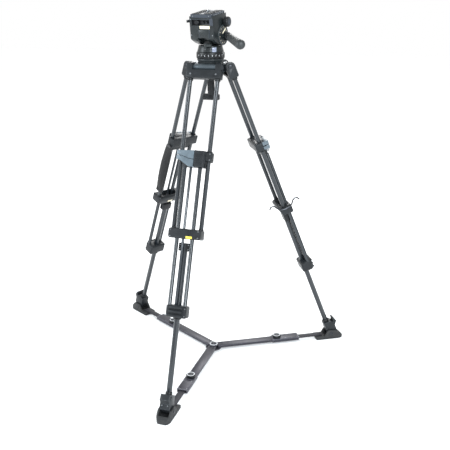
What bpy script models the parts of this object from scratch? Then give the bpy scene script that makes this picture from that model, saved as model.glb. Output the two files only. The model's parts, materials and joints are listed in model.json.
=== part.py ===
"""Two-stage ENG camera tripod with a ground spreader and a fluid head.

World frame: metres, +Z up, the origin on the floor under the tripod's axis, leg A along -Y.
Each leg has two empties: `yaw_x` turns with the leg about +Z, and `hip_x` sits on the leg's hinge
axis with X across the leg, -Y outwards and -Z down the leg. The head's empties are `head_yaw`,
at floor height on the pan axis, and `tilt_axis`, at the tilt pivot.
"""

import math

import bmesh
import bpy
from mathutils import Matrix, Vector

# ---------------------------------------------------------------- driving dimensions (metres)
GAP = 0.0003

HIP_HEIGHT = 1.213
HIP_RADIUS = 0.0633
LEG_ANGLE = math.radians(21.5)
LEGS = {"a": 0.0, "b": 120.0, "c": 240.0}

UPPER_SPACING = 0.054
UPPER_RADIUS = 0.00825
MID_SPACING = 0.030
MID_RADIUS = 0.0075
MID_OUT = 0.0179
LOWER_OUT = 0.0028
LOWER_RADIUS = 0.0107
ROD_SIDE = -0.006
ROD_RADIUS = 0.005

YOKE_HALF = 0.067
YOKE_ROUND = 0.018
YOKE_DOWN = 0.044
BARREL_HALF = 0.0452
BARREL_RADIUS = 0.0115
PIN_RADIUS = 0.008

COLLAR_TOP = 0.3175
COLLAR_KNUCKLE_END = 0.3545
COLLAR_END = 0.379
LEVER_FACE = 0.034
LEVER_BACK = 0.0205
LEVER_RIGHT = 0.0052
SPLIT_RELIEF = 0.0018
SPLIT_GAP = 0.0020
BRACKET_TOP = 0.608
BRACKET_END = 0.645
BRACKET_HALF = 0.0635
SLIDER_TOP = 0.660
SLIDER_END = 0.690
BLOCK_TOP = 0.890
BLOCK_END = 0.935
BLOCK_HALF = 0.0395
ANKLE_TOP = 1.2195
ANKLE_PIVOT = 1.275

BOWL_CENTRE = 1.222
BOWL_RADIUS = 0.050
CROWN_BOTTOM = 1.190
CROWN_RADIUS = 0.0585

HUB_RADIUS = 0.034
HUB_CAP = 0.0205
SHOE_HALF = 0.0275
TOE = 0.593
ARM_START = 0.015
ARM_INNER_END = 0.300
SLEEVE_START = 0.262
SLEEVE_END = 0.384
BAR_START = 0.290
BAR_END = 0.497
KNOB_AT = 0.285
BAR_HALF = 0.012
ARM_HALF = 0.018
SLEEVE_HALF = 0.0215
BAR_BOTTOM = 0.0128
BAR_TOP = 0.0188
ARM_ROOF = 0.0214
SLEEVE_TOP = 0.0242

HEAD_YAW = math.radians(-10.0)
HEAD_WIDTH = 0.098
VIAL_TURN = math.radians(45.5)
VIAL_HALF = 0.0088
PAN_LOCK_TURN = math.radians(22.0)
PAN_LOCK_PIN = (-0.0125, -0.0500)
TILT_HEIGHT = 1.327
TILT_FORWARD = 0.005
TILT_REST = math.radians(7.0)
HANDLE_DROP = math.radians(1.0)
HANDLE_SPLAY = math.radians(34.0)
HANDLE_PIVOT = (0.020, -0.009)
HANDLE_BARE = 0.040


# ---------------------------------------------------------------- scene and small helpers
for old in list(bpy.data.objects):
    bpy.data.objects.remove(old, do_unlink=True)

PARTS = bpy.data.collections.new("tripod")
CUTTERS = bpy.data.collections.new("cutters")
for group in (PARTS, CUTTERS):
    bpy.context.scene.collection.children.link(group)


def material(name, colour, roughness, metallic):
    """A Principled material for one group of sub-parts."""
    made = bpy.data.materials.new(name)
    made.use_nodes = True
    shader = made.node_tree.nodes["Principled BSDF"]
    shader.inputs["Base Color"].default_value = (*colour, 1.0)
    shader.inputs["Roughness"].default_value = roughness
    shader.inputs["Metallic"].default_value = metallic
    return made


TUBE = material("anodised_tube", (0.085, 0.088, 0.095), 0.32, 0.9)
CASTING = material("black_casting", (0.035, 0.037, 0.040), 0.5, 0.2)
SILVER = material("silver_casting", (0.50, 0.54, 0.57), 0.35, 0.9)
LEVER = material("grey_lever", (0.33, 0.40, 0.46), 0.42, 0.1)
PLASTIC = material("black_plastic", (0.022, 0.024, 0.026), 0.45, 0.0)
RUBBER = material("rubber", (0.020, 0.021, 0.022), 0.75, 0.0)
ARM = material("spreader_alloy", (0.075, 0.075, 0.088), 0.42, 0.6)
HEAD = material("head_paint", (0.030, 0.033, 0.034), 0.45, 0.1)
STEEL = material("steel", (0.55, 0.55, 0.56), 0.3, 1.0)
GLASS = material("vial", (0.60, 0.66, 0.78), 0.15, 0.0)
WEBBING = material("leather", (0.025, 0.023, 0.024), 0.7, 0.0)


def empty(name, location, rotation=(0.0, 0.0, 0.0), parent=None):
    made = bpy.data.objects.new(name, None)
    made.location = location
    made.rotation_euler = rotation
    made.parent = parent
    bpy.context.scene.collection.objects.link(made)
    return made


def finish(mesh, name, parent, finish_material, location=(0, 0, 0), rotation=(0, 0, 0)):
    """Puts a mesh into the tripod's collection as one named object."""
    made = bpy.data.objects.new(name, mesh)
    made.location = location
    made.rotation_euler = rotation
    made.parent = parent
    if finish_material:
        mesh.materials.append(finish_material)
    mesh.shade_smooth()
    mesh.set_sharp_from_angle(angle=math.radians(35))
    PARTS.objects.link(made)
    return made


def mesh_of(shape):
    mesh = bpy.data.meshes.new("shape")
    shape.to_mesh(mesh)
    shape.free()
    return mesh


def box_mesh(low, high, bevel=0.0, segments=1):
    """A box between two corners, its edges rounded by `bevel`."""
    low, high = Vector(low), Vector(high)
    shape = bmesh.new()
    bmesh.ops.create_cube(shape, size=1.0)
    bmesh.ops.scale(shape, vec=high - low, verts=shape.verts)
    bmesh.ops.translate(shape, vec=(low + high) / 2, verts=shape.verts)
    if bevel:
        bmesh.ops.bevel(shape, geom=shape.edges[:], offset=bevel, segments=segments,
                        affect="EDGES", profile=0.5)
    return mesh_of(shape)


def rod_mesh(start, end, radius, end_radius=None, sides=24, bevel=0.0):
    """A cylinder or a cone between two points."""
    start, end = Vector(start), Vector(end)
    along = end - start
    shape = bmesh.new()
    bmesh.ops.create_cone(shape, cap_ends=True, segments=sides, radius1=radius,
                          radius2=radius if end_radius is None else end_radius, depth=along.length)
    if bevel:
        rims = [e for e in shape.edges if abs(e.verts[0].co.z - e.verts[1].co.z) < 1e-6]
        bmesh.ops.bevel(shape, geom=rims, offset=bevel, segments=1, affect="EDGES")
    turn = along.to_track_quat("Z", "Y").to_matrix()
    bmesh.ops.rotate(shape, matrix=turn, verts=shape.verts)
    bmesh.ops.translate(shape, vec=(start + end) / 2, verts=shape.verts)
    return mesh_of(shape)


def ball_mesh(centre, radius, segments=32, rings=20):
    shape = bmesh.new()
    bmesh.ops.create_uvsphere(shape, u_segments=segments, v_segments=rings, radius=radius)
    bmesh.ops.translate(shape, vec=centre, verts=shape.verts)
    return mesh_of(shape)


def outline_mesh(points, low, high, axis):
    """A flat outline, drawn as a filled 2D curve and extruded from `low` to `high` along an axis.

    Along X the outline's points are (y, z), along Y they are (x, z), and along Z (x, y).
    """
    curve = bpy.data.curves.new("outline", "CURVE")
    curve.dimensions = "2D"
    curve.fill_mode = "BOTH"
    curve.extrude = (high - low) / 2
    spline = curve.splines.new("POLY")
    spline.points.add(len(points) - 1)
    for point, (across, up) in zip(spline.points, points):
        point.co = (across, up, 0.0, 1.0)
    spline.use_cyclic_u = True
    drawn = bpy.data.objects.new("outline", curve)
    CUTTERS.objects.link(drawn)
    bpy.context.view_layer.update()
    mesh = bpy.data.meshes.new_from_object(drawn.evaluated_get(bpy.context.evaluated_depsgraph_get()))
    bpy.data.objects.remove(drawn, do_unlink=True)
    shape = bmesh.new()
    shape.from_mesh(mesh)
    bmesh.ops.remove_doubles(shape, verts=shape.verts, dist=1e-6)
    middle = (low + high) / 2
    for vert in shape.verts:
        across, up, out = vert.co
        out += middle
        vert.co = {"X": (out, across, up), "Y": (across, out, up), "Z": (across, up, out)}[axis]
    bmesh.ops.recalc_face_normals(shape, faces=shape.faces)
    if shape.calc_volume(signed=True) < 0:
        bmesh.ops.reverse_faces(shape, faces=shape.faces)
    shape.to_mesh(mesh)
    shape.free()
    return mesh


def turned_mesh(profile, steps=32):
    """A profile of (radius, z) points, listed top to bottom on its outer side, turned about Z."""
    mesh = bpy.data.meshes.new("profile")
    shape = bmesh.new()
    verts = [shape.verts.new((radius, 0.0, height)) for radius, height in profile]
    for upper, lower in zip(verts, verts[1:]):
        shape.edges.new((upper, lower))
    shape.to_mesh(mesh)
    shape.free()
    drawn = bpy.data.objects.new("profile", mesh)
    CUTTERS.objects.link(drawn)
    screw = drawn.modifiers.new("turn", "SCREW")
    screw.steps = screw.render_steps = steps
    screw.use_merge_vertices = True
    screw.merge_threshold = 0.0001
    bpy.context.view_layer.update()
    made = bpy.data.meshes.new_from_object(drawn.evaluated_get(bpy.context.evaluated_depsgraph_get()))
    bpy.data.objects.remove(drawn, do_unlink=True)
    return made


def combine(target, mesh, operation):
    """A Boolean with a tool mesh that is given in the target's own space."""
    tool = bpy.data.objects.new(f"{target.name}_{operation.lower()}", mesh)
    tool.parent = target.parent
    tool.location = target.location
    tool.rotation_euler = target.rotation_euler
    tool.hide_render = True
    tool.display_type = "WIRE"
    CUTTERS.objects.link(tool)
    boolean = target.modifiers.new(operation.lower(), "BOOLEAN")
    boolean.operation = operation
    boolean.object = tool
    return target


def cut(target, mesh):
    return combine(target, mesh, "DIFFERENCE")


def unite(target, mesh):
    return combine(target, mesh, "UNION")


def arc(centre, radius, start, end, count):
    """Points along a circle, from a start angle to an end angle in degrees."""
    points = []
    for step in range(count + 1):
        angle = math.radians(start + (end - start) * step / count)
        points.append((centre[0] + radius * math.cos(angle), centre[1] + radius * math.sin(angle)))
    return points


# ---------------------------------------------------------------- crown, bowl and clamp
def crown():
    """The bowl casting: a ring with three hinge barrels, each with its pin through it."""
    rim = BOWL_CENTRE + 0.001
    profile = [(CROWN_RADIUS - 0.003, rim), (CROWN_RADIUS, rim - 0.003), (CROWN_RADIUS, CROWN_BOTTOM + 0.004),
               (CROWN_RADIUS - 0.004, CROWN_BOTTOM)]
    outer = turned_mesh([(0.0, rim)] + profile + [(0.0, CROWN_BOTTOM)], steps=36)
    body = finish(outer, "crown", None, SILVER)
    for yaw in LEGS.values():
        turn = math.radians(yaw - 90.0)
        out = Vector((math.cos(turn), math.sin(turn), 0.0))
        side = Vector((-out.y, out.x, 0.0))
        centre = out * HIP_RADIUS + Vector((0.0, 0.0, HIP_HEIGHT))
        half = side * BARREL_HALF
        unite(body, rod_mesh(centre - half, centre + half, BARREL_RADIUS, sides=20))
        pin = side * (YOKE_HALF + 0.0015)
        unite(body, rod_mesh(centre - pin, centre + pin, PIN_RADIUS, sides=20, bevel=0.001))
    cut(body, ball_mesh((0.0, 0.0, BOWL_CENTRE), BOWL_RADIUS + 0.0006, segments=36, rings=24))
    cut(body, rod_mesh((0, 0, CROWN_BOTTOM - 0.01), (0, 0, BOWL_CENTRE), 0.036, sides=36))
    return body


def bowl_clamp(base):
    """The clamp under the bowl: pressure cap, grip stem and T bar."""
    stem = finish(turned_mesh([(0.0, 1.1784), (0.026, 1.1784), (0.031, 1.1750), (0.031, 1.1700),
                               (0.0125, 1.1620), (0.0125, 1.1040), (0.0, 1.1040)], steps=24),
                  "bowl_clamp", base, PLASTIC)
    unite(stem, box_mesh((-0.034, -0.0105, 1.083), (0.034, 0.0105, 1.1065), bevel=0.005, segments=2))
    return stem


# ---------------------------------------------------------------- legs
def upper_frame(leg, hip):
    """The top casting, forked round the crown's barrel, with the two upper tubes fixed in it."""
    outline = arc((0.0, 0.0), YOKE_ROUND, 0.0, 180.0, 8) + [(-YOKE_ROUND, -YOKE_DOWN + 0.004),
              (-YOKE_ROUND + 0.004, -YOKE_DOWN), (YOKE_ROUND - 0.004, -YOKE_DOWN),
              (YOKE_ROUND, -YOKE_DOWN + 0.004)]
    body = finish(outline_mesh(outline, -YOKE_HALF, YOKE_HALF, "X"), f"upper_frame_{leg}", hip, TUBE)
    reach = BARREL_HALF + GAP
    cut(body, box_mesh((-reach, -0.03, -0.0138), (reach, 0.03, 0.03)))
    cut(body, box_mesh((-reach, 0.001, -0.0335), (reach, 0.03, 0.01)))
    cut(body, rod_mesh((-0.08, 0, 0), (0.08, 0, 0), PIN_RADIUS + GAP, sides=20))
    for side in (-UPPER_SPACING, UPPER_SPACING):
        unite(body, rod_mesh((side, 0, -0.030), (side, 0, -BRACKET_TOP + GAP), UPPER_RADIUS))
    return body


def guide_bracket(leg, hip):
    """The casting that ends the upper tubes and guides the middle ones."""
    body = finish(box_mesh((-BRACKET_HALF, -0.032, -BRACKET_END), (BRACKET_HALF, 0.020, -BRACKET_TOP), bevel=0.005),
                  f"guide_bracket_{leg}", hip, CASTING)
    cut(body, box_mesh((-0.0385, -0.0265, -0.70), (0.0385, 0.0095, -0.55)))
    slope = [(0.0215, -BRACKET_TOP - 0.008), (0.0215, -0.66), (0.0098, -0.66)]
    cut(body, outline_mesh(slope, -0.08, 0.08, "X"))
    return body


def collar(leg, hip):
    """The sliding collar: two knuckles round the upper tubes and the casting that holds the locks."""
    body = finish(box_mesh((-0.066, -0.009, -COLLAR_KNUCKLE_END), (0.066, 0.022, -COLLAR_TOP),
                           bevel=0.003), f"collar_{leg}", hip, CASTING)
    unite(body, box_mesh((-0.041, -LEVER_BACK + GAP, -COLLAR_END), (0.045, 0.004, -COLLAR_TOP + 0.0004)))
    unite(body, box_mesh((LEVER_RIGHT + 0.0008, -LEVER_FACE, -COLLAR_END + 0.0004),
                         (0.0445, -0.012, -COLLAR_TOP - 0.0004), bevel=0.002))
    for side in (-UPPER_SPACING, UPPER_SPACING):
        cut(body, rod_mesh((side, 0, -0.40), (side, 0, -0.30), UPPER_RADIUS + GAP))
    return body


def lever_hinge(leg, hip, number):
    """The lever's pin runs along the leg at the lever's outer right corner."""
    return empty(f"lever_{number}_pin_{leg}", (LEVER_RIGHT, -LEVER_FACE, -COLLAR_TOP), parent=hip)


def lock_lever(leg, hip, number):
    """One of the two stacked over-centre levers; the split between them steps down to the right.

    The upper one's edge is relieved towards its back, so that it swings clear of the lower one."""
    left, wrap = -0.0615, -0.0465
    split = [(left, -0.0195), (-0.040, -0.0215), (-0.014, -0.0305), (LEVER_RIGHT, -0.0325)]
    if number == 1:
        face = [(LEVER_RIGHT, -0.0005), (left, -0.0030)] + split
        end = (-0.0185, -0.0045)
    else:
        lower = [(across, up - SPLIT_GAP) for across, up in reversed(split)]
        face = lower + [(left, -0.0355), (-0.048, -0.0385), (-0.030, -0.0500), (-0.014, -0.0600),
                        (LEVER_RIGHT, -0.0610)]
        end = (-0.0350, -0.0224)
    pin = lever_hinge(leg, hip, number)
    shift = [(across - LEVER_RIGHT, up) for across, up in face]
    thickness = LEVER_FACE - LEVER_BACK
    mesh = outline_mesh(shift, 0.0, thickness, "Y")
    if number == 1:
        for vertex in mesh.vertices:
            if vertex.co.y > thickness / 2 and vertex.co.z < split[0][1] + GAP:
                vertex.co.z += SPLIT_RELIEF
    body = finish(mesh, f"lock_lever_{number}_{leg}", pin, LEVER)
    low, high = end
    unite(body, box_mesh((left - LEVER_RIGHT + 0.0005, thickness - 0.004, low),
                         (wrap - LEVER_RIGHT, 0.0245, high)))
    return body


def mid_frame(leg, hip):
    """The two middle tubes with the block at their foot that the lower tube slides through."""
    body = finish(box_mesh((-BLOCK_HALF, -0.030, -BLOCK_END), (BLOCK_HALF, 0.016, -BLOCK_TOP), bevel=0.005),
                  f"mid_frame_{leg}", hip, TUBE)
    for side in (-MID_SPACING, MID_SPACING):
        unite(body, rod_mesh((side, -MID_OUT, -BLOCK_TOP - 0.010), (side, -MID_OUT, -COLLAR_END - GAP),
                             MID_RADIUS))
    for down in (0.897, 0.9125, 0.928):
        unite(body, rod_mesh((-0.026, -0.032, -down), (0.026, -0.032, -down), 0.0062, sides=12))
    cut(body, rod_mesh((0, -LOWER_OUT, -0.96), (0, -LOWER_OUT, -0.86), LOWER_RADIUS + GAP))
    return body


def lock_rod(leg, hip):
    """The thin shaft that carries the second lock from the collar down to the block."""
    return finish(rod_mesh((0, 0, -BLOCK_TOP + COLLAR_END + GAP), (0, 0, -GAP), ROD_RADIUS, sides=14),
                  f"lock_rod_{leg}", empty(f"rod_axis_{leg}", (ROD_SIDE, -MID_OUT, -COLLAR_END), parent=hip),
                  TUBE)


def lower_tube(leg, hip):
    """The single bottom tube with its slider between the middle tubes."""
    body = finish(rod_mesh((0, -LOWER_OUT, -ANKLE_TOP - 0.001), (0, -LOWER_OUT, -SLIDER_TOP - 0.001),
                           LOWER_RADIUS), f"lower_tube_{leg}", hip, TUBE)
    unite(body, box_mesh((-0.0222, -0.0124, -SLIDER_END), (0.0222, 0.0088, -SLIDER_TOP), bevel=0.001))
    return body


def ankle(leg, hip):
    """The casting on the lower tube's end, round about the foot's pivot, with the foot latch."""
    pivot = (-LOWER_OUT, -ANKLE_PIVOT)
    outline = [(0.012, -ANKLE_TOP - GAP - 0.001), (-0.020, -ANKLE_TOP - GAP - 0.001), (-0.033, -1.236),
               (-0.033, -1.268)] + arc(pivot, 0.0145, 215.0, 370.0, 8)[:8] + [(0.012, -1.262)]
    body = finish(outline_mesh(outline, -0.0195, 0.0195, "X"), f"ankle_{leg}", hip, CASTING)
    latch = [(-0.028, -1.245), (-0.033, -1.248), (-0.0455, -1.232), (-0.0375, -1.2115), (-0.0325, -1.214)]
    unite(body, outline_mesh(latch, -0.018, 0.018, "X"))
    return body


def foot_axis(leg, yaw):
    """World place of the foot's pivot, in the leg's own yawed frame."""
    out = HIP_RADIUS + ANKLE_PIVOT * math.sin(LEG_ANGLE) + LOWER_OUT * math.cos(LEG_ANGLE)
    up = HIP_HEIGHT - ANKLE_PIVOT * math.cos(LEG_ANGLE) + LOWER_OUT * math.sin(LEG_ANGLE)
    return empty(f"foot_axis_{leg}", (0.0, -out, up), parent=yaw), out, up


def shoe(leg, yaw):
    """The rubber foot: heel plate, two cheeks at the pivot and a toe wedge."""
    axis, out, up = foot_axis(leg, yaw)
    outline = [(0.465, 0.0), (TOE - 0.005, 0.0), (TOE, 0.006), (0.570, 0.026), (0.556, 0.040),
               (0.520, 0.043), (0.509, 0.026), (0.502, 0.0125), (0.465, 0.0125)]
    local = [(out - radius, height - up) for radius, height in outline]
    body = finish(outline_mesh(local, -SHOE_HALF, SHOE_HALF, "X"), f"shoe_{leg}", axis, RUBBER)
    slot = [(out - 0.5035, 0.0118 - up), (out - 0.5700, 0.0118 - up), (out - 0.5780, 0.06 - up),
            (out - 0.5035, 0.06 - up)]
    cut(body, outline_mesh(slot, -0.0202, 0.0202, "X"))
    middle = out - TOE + SHOE_HALF
    beyond = arc((0.0, middle), SHOE_HALF, 180.0, 360.0, 10)
    beyond += [(0.04, middle), (0.04, middle - 0.05), (-0.04, middle - 0.05), (-0.04, middle)]
    return cut(body, outline_mesh(beyond, -0.05, 0.05, "Z"))


# ---------------------------------------------------------------- ground spreader
def spreader_hub():
    """Two plates on a post, with a round foot that stands on the floor."""
    profile = [(0.0, 0.0285), (0.010, 0.0285), (0.012, 0.0265), (HUB_CAP - 0.002, 0.0255),
               (HUB_CAP, 0.0240), (HUB_CAP, ARM_ROOF + GAP), (0.0090, ARM_ROOF + GAP),
               (0.0090, 0.0108), (HUB_RADIUS, 0.0108), (HUB_RADIUS, 0.0080), (0.022, 0.0070),
               (0.020, 0.0), (0.0, 0.0)]
    return finish(turned_mesh(profile, steps=30), "spreader_hub", None, ARM)


def arm_inner(leg, yaw):
    """The hub end of an arm: a channel open below, in which the end bar slides."""
    body = finish(box_mesh((-ARM_HALF, -ARM_INNER_END, 0.0112), (ARM_HALF, -ARM_START, ARM_ROOF)),
                  f"arm_inner_{leg}", yaw, ARM)
    half = BAR_HALF + GAP
    cut(body, box_mesh((-half, -0.40, 0.0), (half, -0.044, BAR_TOP + GAP)))
    corner = [(-0.03, -ARM_START + 0.004), (-0.03, 0.01), (0.03, 0.01), (0.03, -ARM_START + 0.004),
              (0.0185, -0.0185), (0.0080, -0.0125), (-0.0080, -0.0125), (-0.0185, -0.0185)]
    return cut(body, outline_mesh(corner, 0.0, 0.05, "Z"))


def arm_sleeve(leg, yaw):
    """The clamp sleeve that slides on the channel and carries the knob."""
    body = finish(box_mesh((-SLEEVE_HALF, -SLEEVE_END, 0.0086), (SLEEVE_HALF, -SLEEVE_START, SLEEVE_TOP),
                           bevel=0.0015), f"arm_sleeve_{leg}", yaw, ARM)
    half = ARM_HALF + GAP
    cut(body, box_mesh((-half, -0.42, 0.0109), (half, -0.22, ARM_ROOF + GAP)))
    return body


def arm_knob(leg, yaw):
    profile = [(0.0, 0.0345), (0.0125, 0.0345), (0.0135, 0.0365), (0.0165, 0.0365), (0.018, 0.0350),
               (0.018, 0.0275), (0.0150, SLEEVE_TOP + GAP), (0.0, SLEEVE_TOP + GAP)]
    return finish(turned_mesh(profile, steps=24), f"arm_knob_{leg}", yaw, PLASTIC,
                  location=(0.0, -KNOB_AT, 0.0))


def arm_bar(leg, yaw):
    """The end bar from inside the sleeve to the heel of the foot, with its rivet head."""
    outline = [(BAR_HALF, -BAR_START), (-BAR_HALF, -BAR_START), (-BAR_HALF, -BAR_END + 0.010)]
    outline += arc((0.0, -BAR_END + 0.012), 0.012, 190.0, 350.0, 6) + [(BAR_HALF, -BAR_END + 0.010)]
    body = finish(outline_mesh(outline, BAR_BOTTOM, BAR_TOP, "Z"), f"arm_bar_{leg}", yaw, ARM)
    unite(body, rod_mesh((0, -0.481, BAR_TOP - 0.001), (0, -0.481, BAR_TOP + 0.003), 0.0065,
                         end_radius=0.005, sides=16))
    return body


# ---------------------------------------------------------------- straps on the legs
def carry_strap(hip):
    """The padded carry handle on leg C, hung from its collar beside the upper tube."""
    pad = [(0.0675, -0.344), (0.0715, -0.344), (0.0730, -0.385), (0.0860, -0.420), (0.0885, -0.470),
           (0.0880, -0.515), (0.0780, -0.545), (0.0800, -0.570), (0.0700, -0.576), (0.0675, -0.545)]
    return finish(outline_mesh(pad, -0.012, 0.036, "Y"), "carry_strap", hip, WEBBING)


def strap_hooks(hip):
    """The sprung catch on leg B: one bent rod across the bracket with a hook at each side."""
    route = [(0.060, -0.592), (0.053, -0.584), (0.045, -0.583), (0.036, -0.588), (0.030, -0.598),
             (0.020, -0.612), (0.000, -0.616), (-0.024, -0.614), (-0.036, -0.604), (-0.044, -0.593),
             (-0.054, -0.589), (-0.063, -0.591), (-0.069, -0.601)]
    curve = bpy.data.curves.new("strap_hooks", "CURVE")
    curve.dimensions = "3D"
    curve.bevel_depth = 0.0031
    curve.bevel_resolution = 2
    curve.use_fill_caps = True
    spline = curve.splines.new("POLY")
    spline.points.add(len(route) - 1)
    for point, (out, up) in zip(spline.points, route):
        point.co = (-BRACKET_HALF - 0.0038, out, up, 1.0)
    body = bpy.data.objects.new("strap_hooks", curve)
    curve.materials.append(PLASTIC)
    body.parent = hip
    PARTS.objects.link(body)
    return body


# ---------------------------------------------------------------- fluid head
def head_base(base):
    """The half ball that levels in the bowl, with its neck and flange."""
    down = []
    for step in range(8):
        angle = math.radians(14.0 + 46.0 * step / 7)
        down.append((BOWL_RADIUS * math.cos(angle), BOWL_CENTRE - BOWL_RADIUS * math.sin(angle)))
    profile = [(0.0, 1.2405), (0.0500, 1.2405), (0.0512, 1.2390), (0.0512, 1.2345), (0.0490, 1.2325),
               (0.0478, 1.2310)] + down + [(0.0, down[-1][1])]
    body = finish(turned_mesh(profile, steps=36), "head_base", base, HEAD)
    return body


def pan_drag_ring(yaw):
    """The stepped ring round the foot of the pan housing that sets the pan drag."""
    profile = [(0.0508, 1.2655), (0.0532, 1.2640), (0.0540, 1.2600), (0.0540, 1.2445), (0.0520, 1.2410),
               (0.0480, 1.2410), (0.0480, 1.2655), (0.0508, 1.2655)]
    body = finish(turned_mesh(profile, steps=40), "pan_drag_ring", yaw, PLASTIC)
    for step in range(20):
        angle = 2 * math.pi * step / 20
        out = Vector((math.cos(angle), math.sin(angle), 0.0))
        base = out * 0.0561
        cut(body, rod_mesh(base + Vector((0, 0, 1.236)), base + Vector((0, 0, 1.2475)), 0.0032, sides=8))
    return body


def pan_housing(yaw):
    """The panning body above the ring, with a pocket for the level and a boss for the brake's lever."""
    profile = [(0.0, 1.2885), (0.0440, 1.2885), (0.0452, 1.2870), (0.0470, 1.2780), (0.0500, 1.2690),
               (0.0505, 1.2660), (0.0475, 1.2660), (0.0475, 1.2410), (0.0, 1.2410)]
    body = finish(turned_mesh(profile, steps=36), "pan_housing", yaw, HEAD)
    pocket = box_mesh((-VIAL_HALF - 0.0004, -0.0650, 1.2655), (VIAL_HALF + 0.0004, -0.0360, 1.2845))
    pocket.transform(Matrix.Rotation(VIAL_TURN, 4, "Z"))
    cut(body, pocket)
    boss = rod_mesh((*PAN_LOCK_PIN, 1.2668), (*PAN_LOCK_PIN, 1.2785), 0.0058, sides=14)
    boss.transform(Matrix.Rotation(PAN_LOCK_TURN, 4, "Z"))
    unite(body, boss)
    return body


def level_vial(yaw):
    """The lit level in the back of the pan housing."""
    turn = empty("level_vial_turn", (0, 0, 0), (0, 0, VIAL_TURN), yaw)
    return finish(box_mesh((-VIAL_HALF, -0.0488, 1.2659), (VIAL_HALF, -0.0364, 1.2841), bevel=0.0012),
                  "level_vial", turn, GLASS)


def pan_lock(yaw):
    """The pan brake's lever at the back, on its own upright pin."""
    turn = empty("pan_lock_turn", (0, 0, 0), (0, 0, PAN_LOCK_TURN), yaw)
    pin = empty("pan_lock_pin", (*PAN_LOCK_PIN, 0.0), parent=turn)
    body = finish(rod_mesh((0, 0, 1.2788), (0, 0, 1.2950), 0.0045, sides=14), "pan_lock_lever", pin, PLASTIC)
    unite(body, box_mesh((-0.0030, -0.0045, 1.2850), (0.0225, 0.0030, 1.2955), bevel=0.0018))
    return body


def tilt_pedestal(yaw):
    """The fixed drum that the tilting body turns on, standing on the pan housing."""
    outline = [(-0.022, 1.2888), (0.030, 1.2888), (0.030, TILT_HEIGHT - 0.020)]
    outline += arc((TILT_FORWARD, TILT_HEIGHT), 0.036, -28.0, 208.0, 16)
    outline += [(-0.022, TILT_HEIGHT - 0.022)]
    return finish(outline_mesh(outline, -0.0180, 0.0180, "X"), "tilt_pedestal", yaw, HEAD)


def tilt_body(axis):
    """The tilting body: an inverted U that straddles the drum, with the handle's disc on the right."""
    half = HEAD_WIDTH / 2
    rear, front, top = -0.068, 0.036, 0.0760
    outline = [(rear, top - 0.002), (rear, -0.003), (-0.0655, -0.0075), (-0.040, -0.0235)]
    outline += arc((0.0, 0.0), 0.0378, 236.0, 345.0, 9) + [(front + 0.001, 0.010), (front + 0.001, top - 0.002),
                                                         (front - 0.001, top), (rear + 0.002, top)]
    body = finish(outline_mesh(outline, -half, half, "X"), "tilt_body", axis, HEAD)
    slot = [(-0.0405, -0.06), (-0.0405, 0.003)] + arc((0.0, 0.0), 0.0400, 180.0, 0.0, 14) + [(0.0405, -0.06)]
    cut(body, outline_mesh(slot, -0.0186, 0.0186, "X"))
    cut(body, box_mesh((-0.0185, rear - 0.02, -0.06), (0.0185, -0.039, -0.0015)))
    cut(body, box_mesh((-0.0185, 0.030, -0.06), (0.0185, front + 0.02, 0.003)))
    cut(body, box_mesh((-0.0400, rear - 0.02, 0.0440), (0.0340, rear + 0.012, 0.0640)))
    cut(body, box_mesh((-0.0443, rear - 0.02, 0.0700), (0.0443, front + 0.02, top + 0.02)))
    unite(body, rod_mesh((half - 0.004, 0, 0), (half + 0.004, 0, 0), 0.0378, sides=36, bevel=0.0015))
    return body


def sliding_plate(axis):
    """The balance plate that slides fore and aft in the tilting body's channel."""
    body = finish(box_mesh((-0.0440, -0.0680, 0.0703), (0.0440, 0.0360, 0.0840), bevel=0.0012),
                  "sliding_plate", axis, SILVER)
    cut(body, box_mesh((-0.0040, -0.0420, 0.0650), (0.0040, 0.0200, 0.0900)))
    cut(body, box_mesh((-0.0090, -0.0470, 0.0650), (0.0090, 0.0250, 0.0760)))
    return body


def camera_screw(axis):
    """The captive camera screw in the plate's slot."""
    pin = empty("camera_screw_axis", (0.0, -0.0110, 0.0), parent=axis)
    body = finish(rod_mesh((0, 0, 0.0710), (0, 0, 0.0755), 0.0080, sides=18), "camera_screw", pin, STEEL)
    unite(body, rod_mesh((0, 0, 0.0750), (0, 0, 0.0930), 0.0032, sides=14, bevel=0.0006))
    return body


def plate_lock_knob(axis):
    """The big knob on the right that clamps the sliding plate."""
    pin = empty("plate_knob_axis", (HEAD_WIDTH / 2 + GAP, 0.0150, 0.0460), parent=axis)
    body = finish(rod_mesh((0.0, 0, 0), (0.006, 0, 0), 0.0090, sides=24), "plate_lock_knob", pin, PLASTIC)
    unite(body, rod_mesh((0.0045, 0, 0), (0.0235, 0, 0), 0.0190, sides=24, bevel=0.003))
    for step in range(8):
        angle = 2 * math.pi * (step + 0.5) / 8
        side = Vector((0.0, math.cos(angle), math.sin(angle))) * 0.0212
        cut(body, rod_mesh(side + Vector((0.002, 0, 0)), side + Vector((0.03, 0, 0)), 0.0042, sides=8))
    return body


def plate_release(axis):
    """The small catch at the left rear corner that lets the plate out."""
    pin = empty("plate_release_pin", (-HEAD_WIDTH / 2 - 0.0040, -0.0560, 0.0), parent=axis)
    body = finish(rod_mesh((0, 0, 0.0520), (0, 0, 0.0640), 0.0036, sides=14), "plate_release_lever", pin,
                  PLASTIC)
    blade = [(0.0005, 0.0030), (0.0005, -0.0030), (-0.0065, -0.0120), (-0.0100, -0.0100), (-0.0050, 0.0020)]
    unite(body, outline_mesh(blade, 0.0535, 0.0625, "Z"))
    return body


def handle_frame(axis):
    """The handle's rosette, in front of the disc's middle; its tube leaves splayed, to the rear."""
    return empty("handle_axis", (0.0, *HANDLE_PIVOT), (HANDLE_DROP - TILT_REST, 0.0, 0.0), parent=axis)


def handle_direction():
    return Vector((math.sin(HANDLE_SPLAY), -math.cos(HANDLE_SPLAY), 0.0))


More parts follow.
